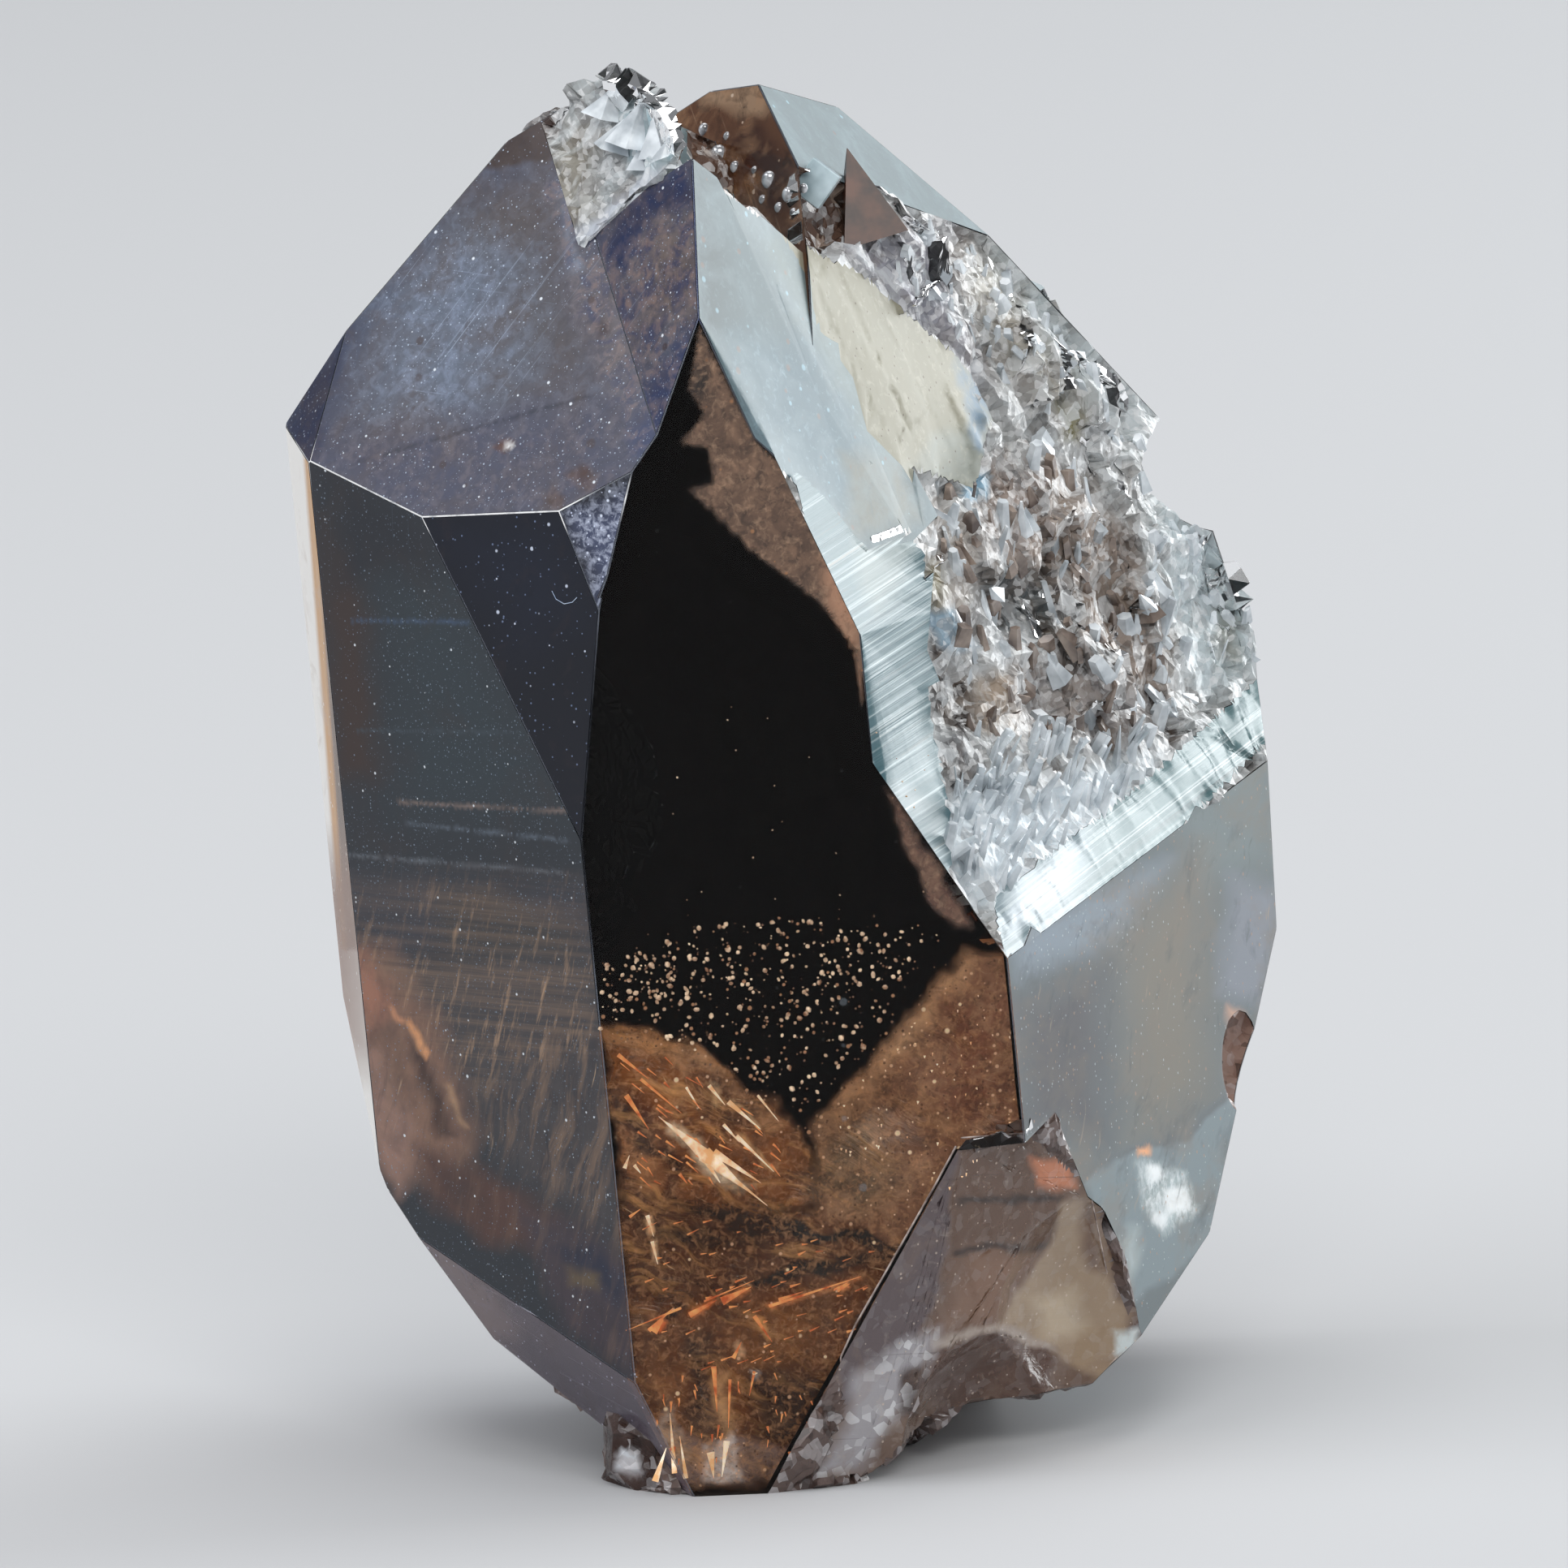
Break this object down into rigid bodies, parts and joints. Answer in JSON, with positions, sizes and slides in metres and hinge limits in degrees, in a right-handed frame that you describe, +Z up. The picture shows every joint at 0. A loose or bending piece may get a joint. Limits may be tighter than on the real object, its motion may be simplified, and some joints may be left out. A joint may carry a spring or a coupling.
{
  "type": "morion quartz crystal",
  "caption": "Smoky black quartz specimen: stout leaning crystals grown together, glassy faces, a rough broken contact on the right and a flat foot.",
  "frame": {"origin": "centre of the bounding box in X and Y, at the flat foot the specimen stands on", "axes": "+Z up, along the leaning crystals; -Y towards the viewer of the picture, +X to the viewer's right"},
  "size_m": [0.0368, 0.032, 0.0518],
  "materials": {
    "smoky_quartz": "dark smoky quartz, glassy faces with frosted and broken areas"
  },
  "bodies": {
    "root": {"morion_crystal": "smoky_quartz"}
  },
  "joints": []
}
